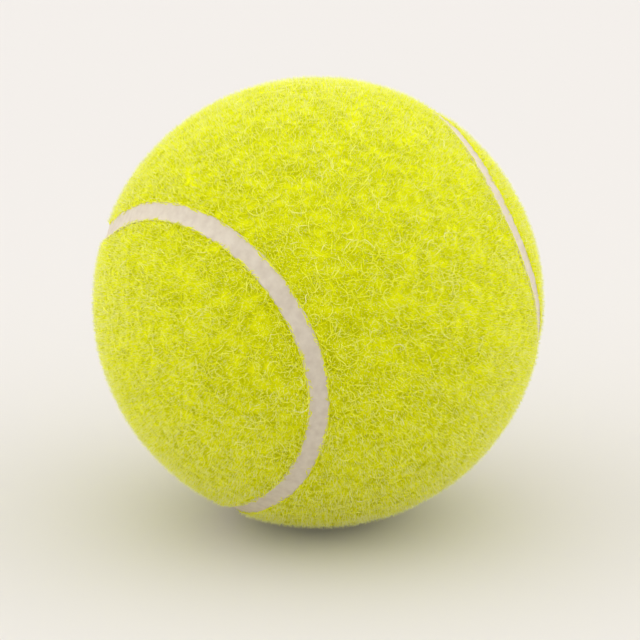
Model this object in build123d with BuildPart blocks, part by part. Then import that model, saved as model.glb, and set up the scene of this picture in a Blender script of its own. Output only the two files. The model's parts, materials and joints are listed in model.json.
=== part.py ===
from build123d import *
import os
from math import cos, pi, sin, sqrt

# A pressurised tennis ball: two cemented rubber half shells make the core, and two dumb-bell shaped
# felt panels wrap it, with a line of pale rubber in the slit between their edges. The origin is the
# ball's centre. Lengths are in millimetres and angles in degrees.

# The ball and its layers, from the outside in
BALL_DIAMETER = 67.0
FELT_THICKNESS = 3.25
BACKING_THICKNESS = 0.25
CEMENT_THICKNESS = 0.15
CORE_WALL = 3.25

# The cement between the rims of the two core halves
CORE_JOINT_THICKNESS = 0.4

# The seam: its width, how deep it lies below the felt, and the bevel of the felt's edge beside it
SEAM_WIDTH = 2.9
SEAM_RECESS = 0.8
FELT_EDGE_BEVEL = 0.8

# The seam's curve is a circle with a share of a wave of three times its rate, and it is fitted
# through a number of points. The turns about X, Y and Z place it as the ball lies.
SEAM_WAVE_SHARE = 0.2016
SEAM_POINTS = 24
SEAM_TURNS = (-119.4, -29.7, -161.7)

# How far a cutting wall reaches past the layers that it cuts
CUT_OVERRUN = 1.0

BALL_RADIUS = BALL_DIAMETER / 2
BACKING_RADIUS = BALL_RADIUS - FELT_THICKNESS
CEMENT_RADIUS = BACKING_RADIUS - BACKING_THICKNESS
CORE_RADIUS = CEMENT_RADIUS - CEMENT_THICKNESS
CAVITY_RADIUS = CORE_RADIUS - CORE_WALL
SEAM_RADIUS = BALL_RADIUS - SEAM_RECESS

seam_frame = Plane.XY.rotated(SEAM_TURNS)
joint_top = Plane.XY.offset(CORE_JOINT_THICKNESS / 2)
joint_bottom = Plane.XY.offset(-CORE_JOINT_THICKNESS / 2)


def beside_seam(angle, offset):
    """Unit vector to the seam curve's point, stepped sideways, towards the front panel if positive."""
    wave_share = SEAM_WAVE_SHARE
    round_share = 1 - wave_share
    rise_share = 2 * sqrt(round_share * wave_share)
    point = Vector(
        round_share * cos(angle) + wave_share * cos(3 * angle),
        round_share * sin(angle) - wave_share * sin(3 * angle),
        rise_share * sin(2 * angle),
    )
    along = Vector(
        -round_share * sin(angle) - 3 * wave_share * sin(3 * angle),
        round_share * cos(angle) - 3 * wave_share * cos(3 * angle),
        2 * rise_share * cos(2 * angle),
    ).normalized()
    step_angle = offset / BALL_RADIUS
    return point * cos(step_angle) + along.cross(point) * sin(step_angle)


def loop_beside_seam(offset, radius):
    """Closed curve along the seam, stepped sideways, at the given radius."""
    angles = [2 * pi * step / SEAM_POINTS for step in range(SEAM_POINTS)]
    with BuildLine(seam_frame) as loop:
        Spline(*[tuple(beside_seam(angle, offset) * radius) for angle in angles], periodic=True)
    return loop.edge()


def edge_wall(side):
    """Radial wall along one edge of the seam, through every layer outside the core."""
    inner = loop_beside_seam(side * SEAM_WIDTH / 2, CEMENT_RADIUS - CUT_OVERRUN)
    outer = loop_beside_seam(side * SEAM_WIDTH / 2, BALL_RADIUS + CUT_OVERRUN)
    return Face.make_surface_from_curves(inner, outer)


def edge_bevel(side):
    """Wall that slants at 45 degrees across the corner of the felt beside the seam."""
    inner_offset = SEAM_WIDTH / 2 - CUT_OVERRUN
    outer_offset = SEAM_WIDTH / 2 + FELT_EDGE_BEVEL + CUT_OVERRUN
    inner = loop_beside_seam(side * inner_offset, BALL_RADIUS - FELT_EDGE_BEVEL - CUT_OVERRUN)
    outer = loop_beside_seam(side * outer_offset, BALL_RADIUS + CUT_OVERRUN)
    return Face.make_surface_from_curves(inner, outer)


# Every wall and bevel faces towards the front panel
front_wall = edge_wall(1)
rear_wall = edge_wall(-1)
front_bevel = edge_bevel(1)
rear_bevel = edge_bevel(-1)

os.makedirs("parts", exist_ok=True)

# Rubber core: two moulded half shells and the cement ring between their rims
with BuildPart() as upper_core_half:
    Sphere(CORE_RADIUS)
    Sphere(CAVITY_RADIUS, mode=Mode.SUBTRACT)
    split(bisect_by=joint_top, keep=Keep.TOP)

with BuildPart() as lower_core_half:
    Sphere(CORE_RADIUS)
    Sphere(CAVITY_RADIUS, mode=Mode.SUBTRACT)
    split(bisect_by=joint_bottom, keep=Keep.BOTTOM)

with BuildPart() as core_joint:
    Sphere(CORE_RADIUS)
    Sphere(CAVITY_RADIUS, mode=Mode.SUBTRACT)
    split(bisect_by=joint_top, keep=Keep.BOTTOM)
    split(bisect_by=joint_bottom, keep=Keep.TOP)

# Film of rubber cement over the whole core
with BuildPart(seam_frame) as core_cement_coat:
    Sphere(CEMENT_RADIUS)
    Sphere(CORE_RADIUS, mode=Mode.SUBTRACT)

# Felt panels, each with its adhesive backing
with BuildPart(seam_frame) as front_panel_backing:
    Sphere(BACKING_RADIUS)
    Sphere(CEMENT_RADIUS, mode=Mode.SUBTRACT)
    split(bisect_by=front_wall, keep=Keep.TOP)

with BuildPart(seam_frame) as rear_panel_backing:
    Sphere(BACKING_RADIUS)
    Sphere(CEMENT_RADIUS, mode=Mode.SUBTRACT)
    split(bisect_by=rear_wall, keep=Keep.BOTTOM)

with BuildPart(seam_frame) as front_felt_panel:
    Sphere(BALL_RADIUS)
    Sphere(BACKING_RADIUS, mode=Mode.SUBTRACT)
    split(bisect_by=front_wall, keep=Keep.TOP)
    split(bisect_by=front_bevel, keep=Keep.TOP)

with BuildPart(seam_frame) as rear_felt_panel:
    Sphere(BALL_RADIUS)
    Sphere(BACKING_RADIUS, mode=Mode.SUBTRACT)
    split(bisect_by=rear_wall, keep=Keep.BOTTOM)
    split(bisect_by=rear_bevel, keep=Keep.BOTTOM)

# Seam rubber in the slit between the two panels
with BuildPart(seam_frame) as seam_rubber:
    Sphere(SEAM_RADIUS)
    Sphere(CEMENT_RADIUS, mode=Mode.SUBTRACT)
    split(bisect_by=front_wall, keep=Keep.BOTTOM)
    split(bisect_by=rear_wall, keep=Keep.TOP)

pieces = {
    "upper_core_half": upper_core_half,
    "lower_core_half": lower_core_half,
    "core_joint": core_joint,
    "core_cement_coat": core_cement_coat,
    "front_panel_backing": front_panel_backing,
    "rear_panel_backing": rear_panel_backing,
    "front_felt_panel": front_felt_panel,
    "rear_felt_panel": rear_felt_panel,
    "seam_rubber": seam_rubber,
}
for name, piece in pieces.items():
    piece.part.label = name
    export_step(piece.part, f"parts/{name}.step")
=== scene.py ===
import json
import bpy
import numpy as np
from mathutils import Euler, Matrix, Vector


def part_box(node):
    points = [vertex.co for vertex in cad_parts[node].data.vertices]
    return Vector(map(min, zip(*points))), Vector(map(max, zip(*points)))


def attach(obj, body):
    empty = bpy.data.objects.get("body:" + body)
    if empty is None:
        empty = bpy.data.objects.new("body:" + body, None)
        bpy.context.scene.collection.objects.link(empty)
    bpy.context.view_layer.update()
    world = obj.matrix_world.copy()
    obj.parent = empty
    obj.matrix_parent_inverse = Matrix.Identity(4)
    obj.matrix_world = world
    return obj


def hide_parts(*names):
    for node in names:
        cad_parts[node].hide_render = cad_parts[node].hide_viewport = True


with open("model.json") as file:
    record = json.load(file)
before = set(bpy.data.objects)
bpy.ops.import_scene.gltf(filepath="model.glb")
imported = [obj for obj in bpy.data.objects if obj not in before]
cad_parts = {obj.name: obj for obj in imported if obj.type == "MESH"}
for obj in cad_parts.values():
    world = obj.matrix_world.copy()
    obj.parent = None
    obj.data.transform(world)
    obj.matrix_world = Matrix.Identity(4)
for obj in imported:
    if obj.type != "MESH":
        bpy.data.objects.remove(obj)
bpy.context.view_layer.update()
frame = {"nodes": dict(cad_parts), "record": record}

# Core halves. Two hemispherical shells moulded from filled natural rubber, joined rim to rim.
# Moulded rubber is dark, matt and a little blotched, because its fillers and wax bloom to the skin.
mm = 0.001
bloom_size = 4 * mm
moulded_skin_depth = 0.05 * mm


def linear(code):
    """Linear colour of an sRGB hex code.

    A channel c above 0.04045 becomes ((c + 0.055) / 1.055) ** 2.4, and a lower one c / 12.92.
    """
    channels = np.array([int(code[start:start + 2], 16) for start in (0, 2, 4)]) / 255
    bent = np.where(channels > 0.04045, ((channels + 0.055) / 1.055) ** 2.4, channels / 12.92)
    return (*bent.tolist(), 1.0)


def add_node(tree, kind, settings, links):
    """Adds a node. Settings go to its own properties or to its sockets, and links to its sockets."""
    node = tree.nodes.new(kind)
    for name, value in settings.items():
        if isinstance(name, str) and hasattr(node, name):
            setattr(node, name, value)
        else:
            node.inputs[name].default_value = value
    for name, output in links.items():
        tree.links.new(output, node.inputs[name])
    return node


def new_material(name, roughness, shine):
    """Material with a plain shader of that roughness and specular level, and its Object coordinates."""
    material = bpy.data.materials.new(name)
    material.use_nodes = True
    tree = material.node_tree
    shader = tree.nodes["Principled BSDF"]
    shader.inputs["Roughness"].default_value = roughness
    shader.inputs["Specular IOR Level"].default_value = shine
    place = add_node(tree, "ShaderNodeTexCoord", {}, {}).outputs["Object"]
    return material, tree, shader, place


def mottle(tree, place, grain, low, high, dark, pale):
    """Colour between two sRGB codes, by a noise of that grain in metres stretched from low to high."""
    noise = add_node(tree, "ShaderNodeTexNoise", {"Scale": 1 / grain, "Detail": 3.0}, {"Vector": place})
    share = add_node(
        tree, "ShaderNodeMapRange", {"From Min": low, "From Max": high}, {"Value": noise.outputs["Fac"]}
    )
    colour = add_node(
        tree,
        "ShaderNodeMix",
        {"data_type": "RGBA", 6: linear(dark), 7: linear(pale)},
        {0: share.outputs["Result"]},
    )
    return colour.outputs[2], noise.outputs["Fac"]


core_rubber, tree, shader, place = new_material("moulded_core_rubber", roughness=0.75, shine=0.3)
colour, grain = mottle(tree, place, bloom_size, low=0.35, high=0.65, dark="3a3836", pale="4a4845")
tree.links.new(colour, shader.inputs["Base Color"])
bump = add_node(tree, "ShaderNodeBump", {"Strength": 1.0, "Distance": moulded_skin_depth}, {"Height": grain})
tree.links.new(bump.outputs["Normal"], shader.inputs["Normal"])
for name in ("upper_core_half", "lower_core_half"):
    frame["nodes"][name].material_slots[0].material = core_rubber

# Rubber cement. A ring of it joins the core halves, a film of it covers the core, and a thicker coat
# backs each felt panel. It dries to a pale tan skin with a soft gloss and brush streaks.
streak_size = 2.5 * mm
dried_skin_depth = 0.03 * mm
cement, tree, shader, place = new_material("dried_rubber_cement", roughness=0.45, shine=0.5)
colour, grain = mottle(tree, place, streak_size, low=0.3, high=0.7, dark="b59a6c", pale="cdb78a")
tree.links.new(colour, shader.inputs["Base Color"])
bump = add_node(tree, "ShaderNodeBump", {"Strength": 1.0, "Distance": dried_skin_depth}, {"Height": grain})
tree.links.new(bump.outputs["Normal"], shader.inputs["Normal"])
for name in ("core_joint", "core_cement_coat", "front_panel_backing", "rear_panel_backing"):
    frame["nodes"][name].material_slots[0].material = cement

# Felt panels. Each is a dumb-bell of woven wool and nylon cloth, teased up into a thick felt, dyed
# optic yellow and cemented to the core. This is the matted body of the felt, lumpy and pitted.
ball_radius = -frame["record"]["mounts"][0]["pos_m"][2]
felt_floor = -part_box("front_panel_backing")[0][2]
felt_edge_round = 0.35 * mm
felt_tuck = 0.1 * mm
felt_edge_stray = 0.12 * mm
felt_edge_stray_size = 1.5 * mm
felt_uneven_depth = 0.07 * mm
felt_uneven_size = 5 * mm
nap_depth = 0.45 * mm

# Pits: how deep, their mean level from 0 to 1, and the share, size and seed of each set of lumps in them
pit_depth = 0.32 * mm
pit_level = 0.35
pit_lumps = ((0.45, 1.7 * mm, 2), (0.6, 0.9 * mm, 3), (0.08, 4.5 * mm, 5))

# Seam: its width and curve, the waves of its stray, and the reach, middle and half width of each pull
seam_width = 2.9 * mm
seam_wave_share = 0.2016
seam_turns = (-119.4, -29.7, -161.7)
seam_axes = np.array(Euler(np.radians(seam_turns), "ZYX").to_matrix())
seam_wander = 0.54 * mm
seam_wander_waves = 6
seam_wander_phase = np.radians(54.8)
seam_pulls = ((1.1 * mm, np.radians(134), np.radians(14)), (-1.5 * mm, np.radians(9), np.radians(10)))

# How near the seam its distance is worked out exactly, from how many first guesses and in how many steps
seam_near = 4 * mm
seam_guesses = 721
seam_steps = 5

# Grid of a panel: columns along the seam, and rows on the outer face, on the wall and over the edge
felt_columns = 760
felt_rows = 65
felt_wall_rows = 3
felt_rim_rows = 6
inner_row_stride = 16
middle_line_share = 0.74

tuft_size = 0.5 * mm
tuft_depth = 0.1 * mm


def unit(vectors):
    """Vectors divided by their own lengths."""
    return vectors / np.linalg.norm(vectors, axis=-1, keepdims=True)


def wander(angle):
    """Sideways stray of the hand-laid seam in metres: a whole number of waves round it, and two pulls.

    A pull falls off as a bell curve of the angle from its middle.
    """
    stray = seam_wander * np.cos(seam_wander_waves * angle + seam_wander_phase)
    for pull, middle, reach in seam_pulls:
        apart = (angle - middle + np.pi) % (2 * np.pi) - np.pi
        stray = stray + pull * np.exp(-((apart / reach) ** 2))
    return stray


def seam_curve(angle):
    """Points of the seam's ideal curve on the unit sphere, and the way it runs, in the seam's own axes.

    The curve is a circle plus a share of a wave of three times its rate: with r the rest of the share and
    w the wave's, x = r cos t + w cos 3t, y = r sin t - w sin 3t and z = 2 sqrt(r w) sin 2t.
    """
    wave = seam_wave_share
    rest = 1 - wave
    rise = 2 * np.sqrt(rest * wave)
    point = np.stack(
        [
            rest * np.cos(angle) + wave * np.cos(3 * angle),
            rest * np.sin(angle) - wave * np.sin(3 * angle),
            rise * np.sin(2 * angle),
        ],
        axis=-1,
    )
    along = np.stack(
        [
            -rest * np.sin(angle) - 3 * wave * np.sin(3 * angle),
            rest * np.cos(angle) - 3 * wave * np.cos(3 * angle),
            2 * rise * np.cos(2 * angle),
        ],
        axis=-1,
    )
    return point, along


def beside_seam(angle, offset):
    """Unit vectors to the seam's ideal curve, stepped sideways in metres, towards the front if positive."""
    point, along = seam_curve(angle)
    step = np.asarray(offset / ball_radius)[..., None]
    return (point * np.cos(step) + np.cross(unit(along), point) * np.sin(step)) @ seam_axes.T


def from_seam(direction):
    """Distance from the seam's middle along the ball, positive on the front panel, and the way it grows.

    The ideal curve is where x y - p z - q z^3 is zero, so far from it the distance is that value over its
    slope. Near it, a few steps along the curve find its nearest point, and the seam's stray there counts.
    """
    wave = seam_wave_share
    rest = 1 - wave
    rise = 2 * np.sqrt(rest * wave)
    p = (rest - 3 * wave) / (2 * rise)
    q = 2 * wave ** 2 / rise ** 3
    outward = direction @ seam_axes
    x, y, z = np.moveaxis(outward, -1, 0)
    slope = np.stack([y, x, -p - 3 * q * z ** 2], axis=-1)
    slope = slope - outward * (slope * outward).sum(-1, keepdims=True)
    far = ball_radius * (x * y - p * z - q * z ** 3) / np.linalg.norm(slope, axis=-1)
    guesses = np.linspace(0, 2 * np.pi, seam_guesses)
    points = seam_curve(guesses)[0]
    way_round = np.unwrap(np.arctan2(points[:, 1], points[:, 0]))
    angle = np.interp(np.arctan2(y, x) % (2 * np.pi), way_round, guesses)
    for _ in range(seam_steps):
        along = seam_curve(angle)[1]
        angle = angle + (outward * along).sum(-1) / (along * along).sum(-1)
    point, along = seam_curve(angle)
    sideways = np.cross(unit(along), point)
    near = ball_radius * np.arcsin(np.clip((outward * sideways).sum(-1), -1, 1)) - wander(angle)
    return np.where(np.abs(far) < seam_near, near, far), sideways @ seam_axes.T


def lumps(points, size, seed):
    """Smooth random field from about -1 to 1: values at the corners of cubes of that size, blended."""
    cells = 32
    table = np.random.default_rng(seed).uniform(-1, 1, (cells, cells, cells))
    cell = points / size
    corner = np.floor(cell).astype(int)
    blend = cell - corner
    blend = blend * blend * (3 - 2 * blend)
    total = 0
    for step in np.ndindex(2, 2, 2):
        weight = np.where(np.array(step) == 1, blend, 1 - blend).prod(-1)
        x, y, z = np.moveaxis((corner + step) % cells, -1, 0)
        total = total + weight * table[x, y, z]
    return total


def felt_edge(direction):
    """Distance of the felt's ragged edge from the middle of the seam, near that direction."""
    return seam_width / 2 + felt_edge_stray * lumps(direction * ball_radius, felt_edge_stray_size, 7)


def felt_surface(direction):
    """Radius of the felt under its nap: the ball less the nap, uneven, and a quarter round at the edge."""
    uneven = felt_uneven_depth * lumps(direction * ball_radius, felt_uneven_size, 1)
    inside = np.clip(np.abs(from_seam(direction)[0]) - felt_edge(direction), 0, felt_edge_round)
    drop = felt_edge_round - np.sqrt(felt_edge_round ** 2 - (felt_edge_round - inside) ** 2)
    return ball_radius - nap_depth - drop + uneven


def felt_pits(direction):
    """Depth from 0 to 1 of the pits between the felt's tufts: a level plus lumps of several sizes."""
    points = direction * ball_radius
    depth = 0
    for share, size, seed in pit_lumps:
        depth = depth + share * lumps(points, size, seed)
    return np.clip(pit_level + depth, 0, 1)


def add_mesh(name, points, faces, uv, material, smooth=True):
    """Object of one mesh: points, faces of like size, and a UV map with one place for each face corner."""
    mesh = bpy.data.meshes.new(name)
    mesh.vertices.add(len(points))
    mesh.vertices.foreach_set("co", points.astype(np.float32).ravel())
    mesh.loops.add(faces.size)
    mesh.loops.foreach_set("vertex_index", faces.astype(np.int32).ravel())
    mesh.polygons.add(len(faces))
    mesh.polygons.foreach_set("loop_start", np.arange(0, faces.size, faces.shape[1], dtype=np.int32))
    mesh.polygons.foreach_set("use_smooth", np.full(len(faces), smooth))
    mesh.uv_layers.new(name="OFBake").data.foreach_set("uv", uv.astype(np.float32).ravel())
    mesh.materials.append(material)
    mesh.update(calc_edges=True)
    obj = bpy.data.objects.new(name, mesh)
    bpy.context.scene.collection.objects.link(obj)
    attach(obj, "root")
    return obj


def panel_grid(side, around, across):
    """Points of one felt panel on a grid of angle along the seam by row across it, faces, UV and pits, whose
    depth also paints shade into the felt's colour.

    Rows run from the middle line of the inner face out to the edge, up the wall, over the round of the
    edge and back along the outer face to the middle line. A row on a face lies on arcs from the edge to
    the middle line, which is on the great circle that the panel's mirror plane cuts and stops short of the
    lobes' tips, so that the arcs fan out there. On the middle line both halves share points.
    """
    angle = 2 * np.pi * np.arange(around) / around
    wall_offset = felt_edge(beside_seam(angle, wander(angle) + side * seam_width / 2))
    wall = beside_seam(angle, wander(angle) + side * wall_offset)
    edge = beside_seam(angle, wander(angle) + side * (wall_offset + felt_edge_round))
    ideal = beside_seam(angle, side * seam_width / 2)
    lobe_way = seam_axes @ np.array([1, side, 0]) / np.sqrt(2)
    waist = -side * seam_axes[:, 2]
    swing = np.arctan2(ideal @ lobe_way, ideal @ waist) * middle_line_share
    middle = np.cos(swing)[:, None] * waist + np.sin(swing)[:, None] * lobe_way
    share = np.linspace(0, 1, across)[:, None, None]
    outer = unit(edge * (1 - share) + middle * share)
    outer_pits = felt_pits(outer)
    turn = np.linspace(0, np.pi / 2, felt_rim_rows + 1)[:-1]
    rim_offset = wall_offset + felt_edge_round * (1 - np.cos(turn))[:, None]
    rim = beside_seam(angle[None], wander(angle) + side * rim_offset)
    wall_top = ball_radius - nap_depth - 1.5 * felt_edge_round
    wall_radius = np.linspace(felt_floor, wall_top, felt_wall_rows + 1)[1:]
    inner_share = share[-1::-inner_row_stride]
    inner = unit(wall * (1 - inner_share) + middle * inner_share)
    rows = np.concatenate(
        [
            inner * felt_floor,
            wall[None] * wall_radius[:, None, None],
            rim * felt_surface(rim)[..., None],
            outer * (felt_surface(outer) - pit_depth * outer_pits)[..., None],
        ]
    )
    pits = np.zeros(rows.shape[:2])
    pits[-across:] = outer_pits
    count = len(rows)
    number = np.arange(count * around).reshape(count, around)
    mirror = (side * around // 4 - np.arange(around)) % around
    number[0] = np.minimum(number[0], number[0][mirror])
    number[-1] = np.minimum(number[-1], number[-1][mirror])
    row, column = np.mgrid[0:count - 1, 0:around]
    column_on = (column + 1) % around
    corners = [
        (row, column, column),
        (row, column_on, column + 1),
        (row + 1, column_on, column + 1),
        (row + 1, column, column),
    ]
    faces = np.stack([number[r, c] for r, c, _ in corners], axis=-1).reshape(-1, 4)
    places = [np.stack([u / around, r / (count - 1)], axis=-1) for r, _, u in corners]
    uv = np.stack(places, axis=2).reshape(-1, 4, 2)
    return rows.reshape(-1, 3), faces[:, ::-side], uv[:, ::-side], pits.ravel()


felt, tree, shader, place = new_material("optic_yellow_felt", roughness=0.6, shine=0.1)
colour, grain = mottle(tree, place, tuft_size, low=0.35, high=0.65, dark="e6ea00", pale="f5f704")
# The pits' depth also darkens the felt's colour towards d4d800: painted shade in the hollows between the
# tufts.
depth = add_node(tree, "ShaderNodeAttribute", {"attribute_name": "pit_painted_shade"}, {}).outputs["Fac"]
shaded = add_node(tree, "ShaderNodeMix", {"data_type": "RGBA", 7: linear("d4d800")}, {0: depth, 6: colour})
tree.links.new(shaded.outputs[2], shader.inputs["Base Color"])
bump = add_node(tree, "ShaderNodeBump", {"Strength": 1.0, "Distance": tuft_depth}, {"Height": grain})
tree.links.new(bump.outputs["Normal"], shader.inputs["Normal"])
for name, side in (("front", 1), ("rear", -1)):
    points, faces, uv, pits = panel_grid(side, felt_columns, felt_rows)
    used, faces = np.unique(faces, return_inverse=True)
    panel = add_mesh(f"{name}_felt_body", points[used], faces.reshape(-1, 4), uv, felt)
    # Each point's pit depth, which paints shade into the felt's colour.
    values = pits[used].astype(np.float32)
    panel.data.attributes.new("pit_painted_shade", "FLOAT", "POINT").data.foreach_set("value", values)
    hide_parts(f"{name}_felt_panel")

# Seam rubber. The panels' edges are dipped in pale rubber, which swells and cures in the mould into one
# closed line. It is smooth, matt and slightly hollow, and lies a little below the felt.
seam_recess = 0.5 * mm
seam_hollow = 0.17 * mm
seam_reach = seam_width / 2 + felt_tuck
seam_floor = -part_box("core_cement_coat")[0][2]
seam_swell = 0.03 * mm
seam_swell_size = 2.5 * mm
seam_columns = 960
seam_rows = 13
cured_blotch_size = 1.2 * mm
cured_skin_depth = 0.02 * mm


def seam_top(distance):
    """Radius of the rubber's hollow top at a distance from the seam's middle: a parabola, lowest there."""
    return ball_radius - seam_recess + seam_hollow * (distance / seam_reach) ** 2


def seam_grid(around, across):
    """Points of the seam on a grid of angle along it by place round its section, with faces and UV.

    The section is a bar from the core's cement up to a hollow top, whose height also swells a little.
    """
    angle = 2 * np.pi * np.arange(around) / around
    share = np.linspace(-1, 1, across)
    reach = np.concatenate([share, share[::-1][[0, across // 2, -1]]]) * seam_reach
    direction = beside_seam(angle[:, None], wander(angle[:, None]) + reach[None])
    radius = np.tile(np.concatenate([seam_top(reach[:across]), np.full(3, seam_floor)]), (around, 1))
    top = direction[:, :across] * ball_radius
    radius[:, :across] += seam_swell * lumps(top, seam_swell_size, 4)
    places_round = radius.shape[1]
    number = np.arange(radius.size).reshape(radius.shape)
    row, column = np.mgrid[0:around, 0:places_round]
    row_on = (row + 1) % around
    column_on = (column + 1) % places_round
    corners = [
        (row, column, 0, 0),
        (row, column_on, 0, 1),
        (row_on, column_on, 1, 1),
        (row_on, column, 1, 0),
    ]
    faces = np.stack([number[r, c] for r, c, _, _ in corners], axis=-1).reshape(-1, 4)
    places = [
        np.stack([(row + on_row) / around, (column + on_column) / places_round], axis=-1)
        for _, _, on_row, on_column in corners
    ]
    uv = np.stack(places, axis=2).reshape(-1, 4, 2)
    return (direction * radius[..., None]).reshape(-1, 3), faces, uv


seam_rubber, tree, shader, place = new_material("cured_seam_rubber", roughness=0.6, shine=0.3)
colour, grain = mottle(tree, place, cured_blotch_size, low=0.3, high=0.7, dark="d5c8b6", pale="e3d8c6")
tree.links.new(colour, shader.inputs["Base Color"])
bump = add_node(tree, "ShaderNodeBump", {"Strength": 1.0, "Distance": cured_skin_depth}, {"Height": grain})
tree.links.new(bump.outputs["Normal"], shader.inputs["Normal"])
points, faces, uv = seam_grid(seam_columns, seam_rows)
seam = add_mesh("seam_line", points, faces, uv, seam_rubber)
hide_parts("seam_rubber")

# Nap. Brushing and steaming tease the felt's fibres up into a tangle of soft curls. Their colour is painted
# paler the higher they stand, as painted light where raised fibres catch the lamp. Real fibres are 0.02 to
# 0.03 mm
# thick: these are drawn several times as thick, and fewer, so that they show.
fibre_root_depth = 0.1 * mm
fibre_overhang_limit = 0.7 * mm
fibre_press_reach = 1.2 * mm
fibre_clearance = 0.06 * mm
nap_patch_share = 0.06
nap_patch_size = 4 * mm
painted_light_rise = 1.5 * mm

# The four kinds of nap: how many pieces each panel's share is split into, how tall a fibre's section is
# for its width, and the numbers and lengths that its fibres are drawn from
nap_kinds = {
    "mat": {
        "pieces": 3,
        "flatness": 0.45,
        "fibres": {
            "count": 24000,
            "edge": None,
            "knots": 5,
            "length": (1.0 * mm, 2.6 * mm),
            "curl": (0.6 * mm, 3.0 * mm),
            "rise": (0.0 * mm, 0.25 * mm),
            "free": (0.0, 1.0),
            "press": 0.3,
            "overhang": 0.1 * mm,
            "width": (0.09 * mm, 0.16 * mm),
            "pale": 0.18,
            "vary": 0.2,
            "seed": 11,
        },
    },
    "curl": {
        "pieces": 2,
        "flatness": 0.6,
        "fibres": {
            "count": 11000,
            "edge": None,
            "knots": 7,
            "length": (2.0 * mm, 4.5 * mm),
            "curl": (0.7 * mm, 2.5 * mm),
            "rise": (0.15 * mm, 0.5 * mm),
            "free": (0.0, 1.0),
            "press": 0.3,
            "overhang": 0.1 * mm,
            "width": (0.09 * mm, 0.16 * mm),
            "pale": 0.35,
            "vary": 0.12,
            "seed": 12,
        },
    },
    "fuzz": {
        "pieces": 3,
        "flatness": 1.0,
        "fibres": {
            "count": 124000,
            "edge": None,
            "knots": 3,
            "length": (0.1 * mm, 0.5 * mm),
            "curl": (0.8 * mm, 3.0 * mm),
            "rise": (0.3 * mm, 0.9 * mm),
            "free": (1.0, 1.0),
            "press": 1.0,
            "overhang": 0.1 * mm,
            "width": (0.06 * mm, 0.08 * mm),
            "pale": 0.6,
            "vary": 0.08,
            "seed": 13,
        },
    },
    "edge": {
        "pieces": 1,
        "flatness": 0.6,
        "fibres": {
            "count": 5000,
            "edge": 1.2 * mm,
            "knots": 6,
            "length": (0.8 * mm, 2.2 * mm),
            "curl": (0.8 * mm, 4.0 * mm),
            "rise": (0.05 * mm, 0.35 * mm),
            "free": (0.0, 1.0),
            "press": 0.8,
            "overhang": 0.25 * mm,
            "width": (0.09 * mm, 0.16 * mm),
            "pale": 0.3,
            "vary": 0.12,
            "seed": 14,
        },
    },
}


def fibres(count, edge, knots, length, curl, rise, free, press, overhang, width, pale, vary, seed):
    """Paths, half widths, tints with painted light, and panel sides of curly fibres, as arrays of fibre by
    knot.

    Each starts in the felt at a random place, anywhere or within a reach of the seam's edge, heads a random
    way and turns at a steady rate with a slow wave on it. Its lift above the felt is a half sine along it,
    plus a share that grows to its free tip, and is pressed down beside the seam. A fibre that would cross
    the seam's edge is pushed back to a random overhang, and lies on the rubber there. It is thickest in its
    middle. Its tint is a random tone and patch, plus painted light that makes it paler the higher it stands.
    """
    draw = np.random.default_rng(seed)
    root = unit(draw.normal(size=(count, 3)))
    if edge:
        angle = draw.uniform(0, 2 * np.pi, count)
        place = draw.choice([-1, 1], count) * (seam_width / 2 + draw.uniform(0, edge, count))
        root = beside_seam(angle, wander(angle) + place)
    root_distance = from_seam(root)[0]
    side = np.sign(root_distance)
    ahead = unit(np.cross(root, draw.normal(size=(count, 3))))
    aside = np.cross(root, ahead)
    share = np.linspace(0, 1, knots)
    long = draw.uniform(*length, (count, 1))
    bend = draw.choice([-1, 1], (count, 1)) / draw.uniform(*curl, (count, 1))
    phase = draw.uniform(1, 4, (count, 1)) * share + draw.uniform(0, 2, (count, 1))
    heading = bend * long * share + draw.uniform(-0.7, 0.7, (count, 1)) * np.sin(np.pi * phase)
    step = long / (knots - 1)
    forward = np.cumsum(np.cos(heading) * step, axis=1) - np.cos(heading[:, :1]) * step
    sideways = np.cumsum(np.sin(heading) * step, axis=1) - np.sin(heading[:, :1]) * step
    spread = forward[..., None] * ahead[:, None] + sideways[..., None] * aside[:, None]
    direction = unit(root[:, None] * ball_radius + spread)
    distance, way = from_seam(direction)
    past_edge = np.minimum(draw.exponential(overhang, (count, 1)), fibre_overhang_limit)
    shortfall = np.maximum(felt_edge(direction) + felt_tuck - past_edge - side[:, None] * distance, 0)
    direction = unit(direction + (side[:, None] * shortfall / ball_radius)[..., None] * way)
    loose = draw.uniform(*free, (count, 1))
    lift = draw.uniform(*rise, (count, 1)) * ((1 - loose) * np.sin(np.pi * share) + loose * share ** 1.3)
    from_edge = np.abs(root_distance) - seam_width / 2
    lift = lift * np.clip(from_edge / fibre_press_reach, press, 1)[:, None]
    level = (felt_surface(direction) + felt_surface(root)[:, None]) / 2
    radius = level - fibre_root_depth * (1 - share) ** 4 + lift
    distance = np.abs(from_seam(direction)[0])
    on_rubber = np.maximum(radius, seam_top(distance) + fibre_clearance)
    radius = np.where(distance < seam_reach, on_rubber, radius)
    path = direction * radius[..., None]
    thick = draw.uniform(*width, (count, 1)) / 2 * np.sin(np.pi * (0.12 + 0.76 * share)) ** 0.6
    path[..., 2] = np.maximum(path[..., 2], thick - ball_radius)
    patch = nap_patch_share * lumps(root * ball_radius, nap_patch_size, 6)[:, None]
    # Tint: a random tone and patch, plus painted light that makes a fibre paler with height, where it would
    # catch the lamp.
    tints_and_painted_light = np.clip(draw.normal(pale, vary, (count, 1)) + patch + lift / painted_light_rise, 0, 1)
    keep = np.abs(root_distance) > seam_width / 2
    return path[keep], thick[keep], tints_and_painted_light[keep], side[keep]


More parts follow.
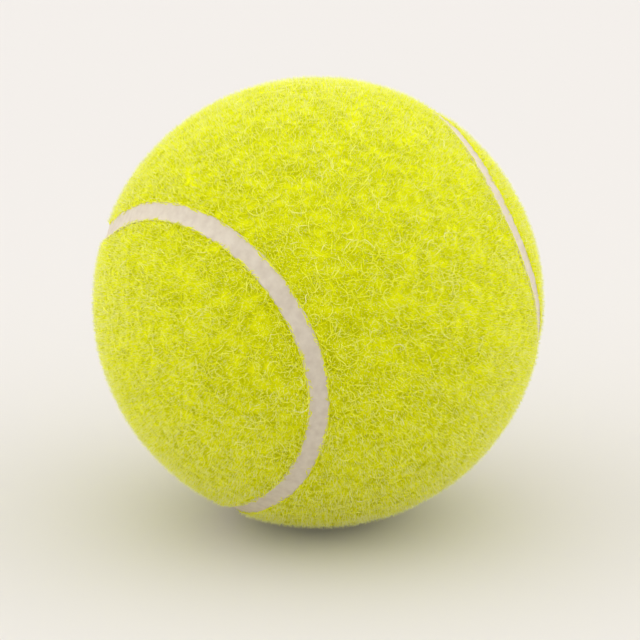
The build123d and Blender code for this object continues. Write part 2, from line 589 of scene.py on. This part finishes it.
def tubes(path, thick, flatness):
    """Closed three-sided tubes along the paths, drawn to a point at both ends, with faces and UV places.

    One edge of each tube faces outwards, and its height is a share of what it is in an even triangle. Each
    tube has a cell of its own in the UV map: knots run across the cell, and its three sides up it.
    """
    count, knots = path.shape[:2]
    tangent = unit(np.gradient(path, axis=1))
    across = unit(np.cross(tangent, path))
    above = np.cross(across, tangent)
    turn = np.pi / 2 + 2 * np.pi * np.arange(3) / 3
    wide = np.cos(turn)[:, None] * across[:, 1:-1, None]
    tall = flatness * np.sin(turn)[:, None] * above[:, 1:-1, None]
    rings = path[:, 1:-1, None] + thick[:, 1:-1, None, None] * (wide + tall)
    points = np.concatenate([path[:, :1], rings.reshape(count, -1, 3), path[:, -1:]], axis=1)
    ring, side = np.mgrid[0:knots - 3, 0:3]
    low = 1 + 3 * ring + side
    low_on = 1 + 3 * ring + (side + 1) % 3
    sides = np.stack([low, low_on + 3, low_on, low, low + 3, low_on + 3], axis=-1).reshape(-1, 3)
    turns = np.arange(3)
    last = 1 + 3 * (knots - 3)
    start = np.stack([0 * turns, 1 + turns, 1 + (turns + 1) % 3], axis=-1)
    end = np.stack([0 * turns + last + 3, last + (turns + 1) % 3, last + turns], axis=-1)
    one = np.concatenate([start, sides, end])
    size = 3 * (knots - 2) + 2
    faces = (one[None] + size * np.arange(count)[:, None, None]).reshape(-1, 3)
    knot_of = np.concatenate([[0], np.repeat(np.arange(1, knots - 1), 3), [knots - 1]])
    high_of = np.concatenate([[0.5], np.tile(np.arange(3) / 3, knots - 2), [0.5]])
    u = knot_of[one] / (knots - 1)
    high = high_of[one]
    closes_round = (high == 0) & (high.max(axis=1, keepdims=True) > 0.6)
    v = np.minimum(high + np.where(closes_round, 1, 0), 1)
    cells = int(np.ceil(np.sqrt(count)))
    cell = np.stack([np.arange(count) % cells, np.arange(count) // cells], axis=-1)
    uv = (cell[:, None, None] + 0.1 + 0.8 * np.stack([u, v], axis=-1)[None]) / cells
    return points.reshape(-1, 3), faces, uv.reshape(-1, 3, 2)


nap, tree, shader, place = new_material("teased_felt_nap", roughness=0.5, shine=0.1)
tint_and_painted_light = add_node(tree, "ShaderNodeAttribute", {"attribute_name": "tint_and_painted_light"}, {}).outputs["Fac"]
# The ramp runs from deep yellow to pale cream, so the painted light on raised fibres shows as paler colour.
ramp = add_node(tree, "ShaderNodeValToRGB", {}, {"Fac": tint_and_painted_light})
ramp.color_ramp.elements[0].color = linear("dce000")
ramp.color_ramp.elements[1].color = linear("ffffd0")
ramp.color_ramp.elements.new(0.4).color = linear("fbfd08")
ramp.color_ramp.elements.new(0.7).color = linear("fdfe78")
tree.links.new(ramp.outputs["Color"], shader.inputs["Base Color"])
for kind, habit in nap_kinds.items():
    pieces = habit["pieces"]
    path, thick, tints_and_painted_light, side = fibres(**habit["fibres"])
    ring_tints_and_painted_light = np.repeat(tints_and_painted_light[:, 1:-1], 3, axis=1)
    tints_and_painted_light = np.concatenate([tints_and_painted_light[:, :1], ring_tints_and_painted_light, tints_and_painted_light[:, -1:]], axis=1)
    for name, sign in (("front", 1), ("rear", -1)):
        for part in range(pieces):
            chosen = np.flatnonzero(side * sign > 0)[part::pieces]
            points, faces, uv = tubes(path[chosen], thick[chosen], habit["flatness"])
            piece = add_mesh(f"{name}_{kind}_nap_{part + 1}", points, faces, uv, nap, smooth=False)
            values = tints_and_painted_light[chosen].astype(np.float32).ravel()
            piece.data.attributes.new("tint_and_painted_light", "FLOAT", "POINT").data.foreach_set("value", values)

# Floor. A wide sheet of off-white paper, matt, which the ball stands on. It is lifted a little towards
# white for the rays that show it, and gives no light to the ball by that.
floor_reach = 3.0
floor_lift = 0.06


def seen_ray(tree):
    """Output that is 1 for rays that show a thing to the camera, straight, in a shine or through glass."""
    ray = add_node(tree, "ShaderNodeLightPath", {}, {}).outputs
    straight_or_shine = add_node(
        tree, "ShaderNodeMath", {"operation": "MAXIMUM"}, {0: ray["Is Camera Ray"], 1: ray["Is Glossy Ray"]}
    )
    any_seen = add_node(
        tree,
        "ShaderNodeMath",
        {"operation": "MAXIMUM"},
        {0: straight_or_shine.outputs["Value"], 1: ray["Is Transmission Ray"]},
    )
    return any_seen.outputs["Value"]


floor_paper, tree, shader, place = new_material("off_white_paper", roughness=0.9, shine=0.0)
shader.inputs["Base Color"].default_value = linear("dedad6")
shader.inputs["Emission Color"].default_value = linear("f4efea")
lift = add_node(tree, "ShaderNodeMath", {"operation": "MULTIPLY", 1: floor_lift}, {0: seen_ray(tree)})
tree.links.new(lift.outputs["Value"], shader.inputs["Emission Strength"])
corner = np.array([[-1, -1, 0], [1, -1, 0], [1, 1, 0], [-1, 1, 0]]) * floor_reach
mesh = bpy.data.meshes.new("floor")
mesh.from_pydata((corner - [0, 0, ball_radius]).tolist(), [], [(0, 1, 2, 3)])
mesh.materials.append(floor_paper)
floor = bpy.data.objects.new("floor", mesh)
bpy.context.scene.collection.objects.link(floor)

# Light. A broad soft lamp overhead, in a dim room that brightens steeply towards its left and right. The
# rays that show the room see it off-white.
room_light = 0.1
side_light = 2.6
side_steepness = 6.0
lamp_light = 0.87
lamp_spread = np.radians(130)
world = bpy.data.worlds.new("bright_room")
world.use_nodes = True
tree = world.node_tree
background = tree.nodes["Background"]
way = add_node(tree, "ShaderNodeTexCoord", {}, {}).outputs["Generated"]
way = add_node(tree, "ShaderNodeSeparateXYZ", {}, {"Vector": way}).outputs["X"]
side = add_node(tree, "ShaderNodeMath", {"operation": "POWER", 1: side_steepness}, {0: way}).outputs["Value"]
glow = add_node(tree, "ShaderNodeMapRange", {"To Min": room_light, "To Max": side_light}, {"Value": side})
seen = add_node(
    tree,
    "ShaderNodeMix",
    {"data_type": "RGBA", 7: linear("f4efea")},
    {0: seen_ray(tree), 6: glow.outputs["Result"]},
)
tree.links.new(seen.outputs[2], background.inputs["Color"])
bpy.context.scene.world = world
lamp_data = bpy.data.lights.new("overhead_softbox", "SUN")
lamp_data.energy = lamp_light * np.pi
lamp_data.angle = lamp_spread
lamp = bpy.data.objects.new("overhead_softbox", lamp_data)
bpy.context.scene.collection.objects.link(lamp)

# Camera. A long lens that looks down on the ball from a little above, with the ball's centre at a given
# place in a square frame. Lengths in the frame are in pixels of its side.
camera_distance = 20.16 * ball_radius
camera_elevation = np.radians(19.5)
frame_side = 640
focal_pixels = 4538
ball_pixels = (318.3, 302.3)
camera_data = bpy.data.cameras.new("camera")
camera_data.sensor_width = 36.0
camera_data.lens = camera_data.sensor_width * focal_pixels / frame_side
camera_data.clip_start = 0.01
camera = bpy.data.objects.new("camera", camera_data)
bpy.context.scene.collection.objects.link(camera)
away = Vector((0, -np.cos(camera_elevation), np.sin(camera_elevation)))
up = Vector((0, np.sin(camera_elevation), np.cos(camera_elevation)))
pixel = camera_distance / focal_pixels
right_step = Vector((1, 0, 0)) * (frame_side / 2 - ball_pixels[0]) * pixel
up_step = up * (frame_side / 2 - ball_pixels[1]) * pixel
aim = right_step - up_step
camera.location = away * camera_distance
camera.rotation_euler = (aim - camera.location).to_track_quat("-Z", "Y").to_euler()
bpy.context.scene.camera = camera
bpy.context.scene.view_settings.view_transform = "Standard"
